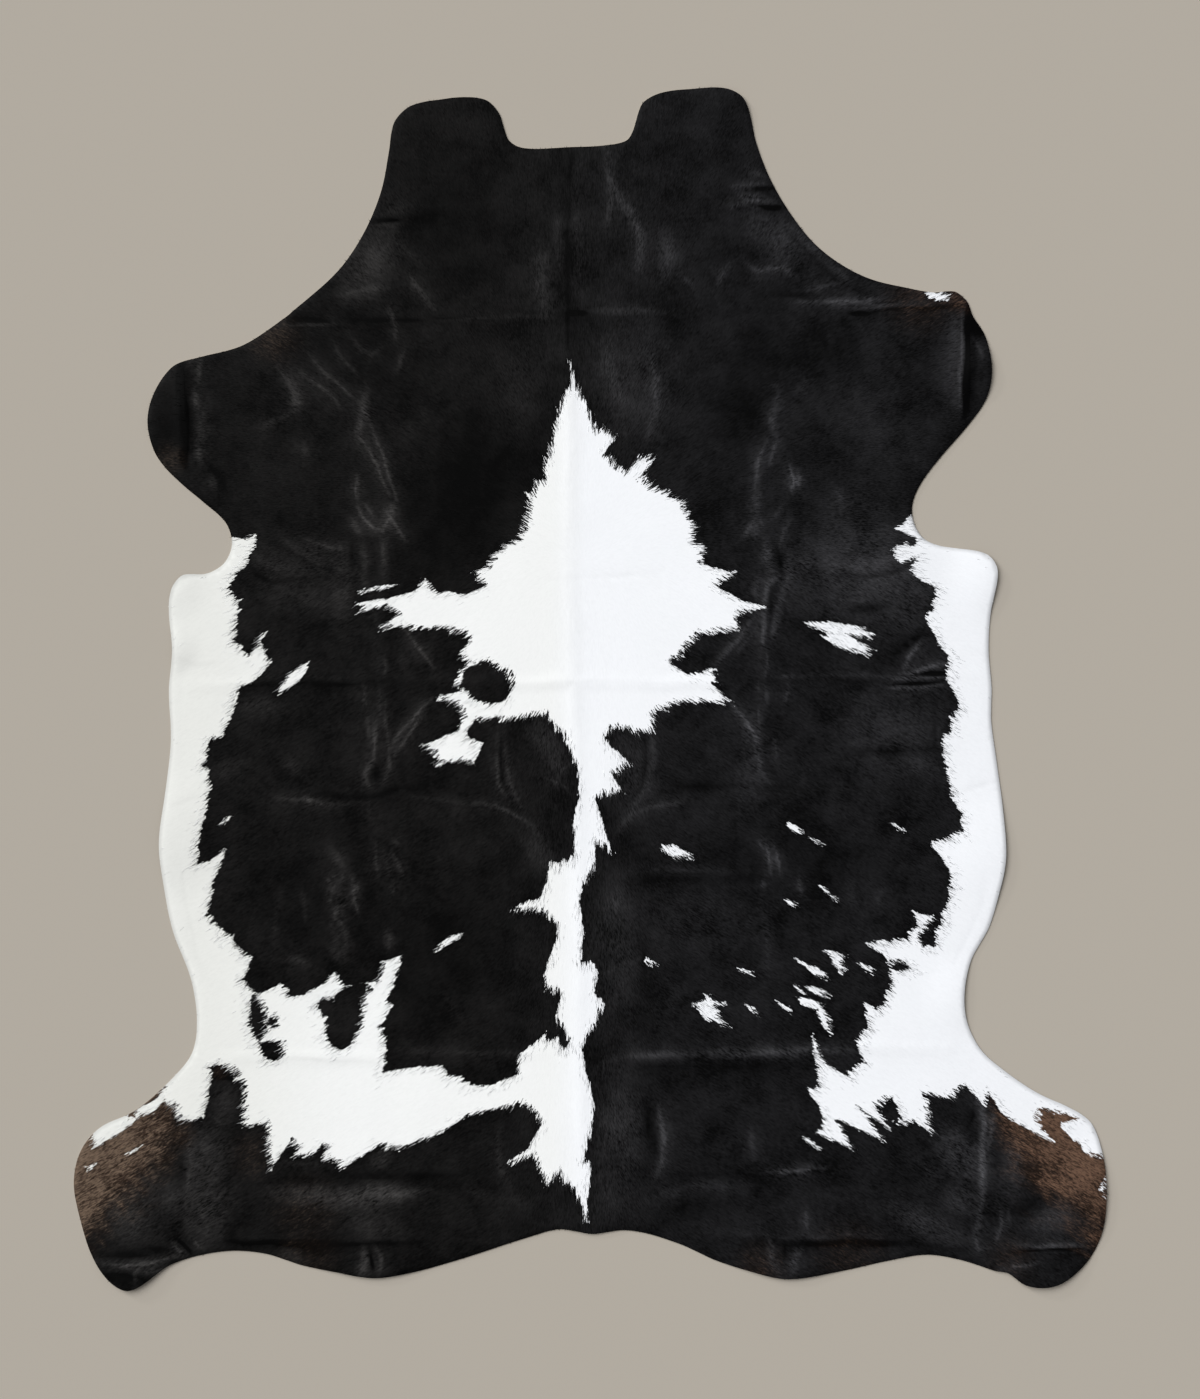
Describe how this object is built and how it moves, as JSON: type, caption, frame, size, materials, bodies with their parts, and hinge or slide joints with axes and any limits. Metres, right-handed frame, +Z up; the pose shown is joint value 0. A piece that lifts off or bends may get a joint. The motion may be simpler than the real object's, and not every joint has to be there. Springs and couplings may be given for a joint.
{
  "type": "cowhide rug",
  "caption": "Flat hair-on cowhide rug in its natural outline: black coat, white blaze along the spine, white flanks and brown-tinged hind legs.",
  "frame": {"origin": "middle of the hide's bounding box, on the surface that it lies on", "axes": "+Y along the spine towards the neck, +X to the right seen from above with the neck away from the viewer, +Z up out of the hair side"},
  "size_m": [2.064, 2.404, 0.0159],
  "materials": {
    "hide_coat": "short glossy hair lying flat on tanned skin"
  },
  "bodies": {
    "root": {"hide": "hide_coat"}
  },
  "joints": []
}
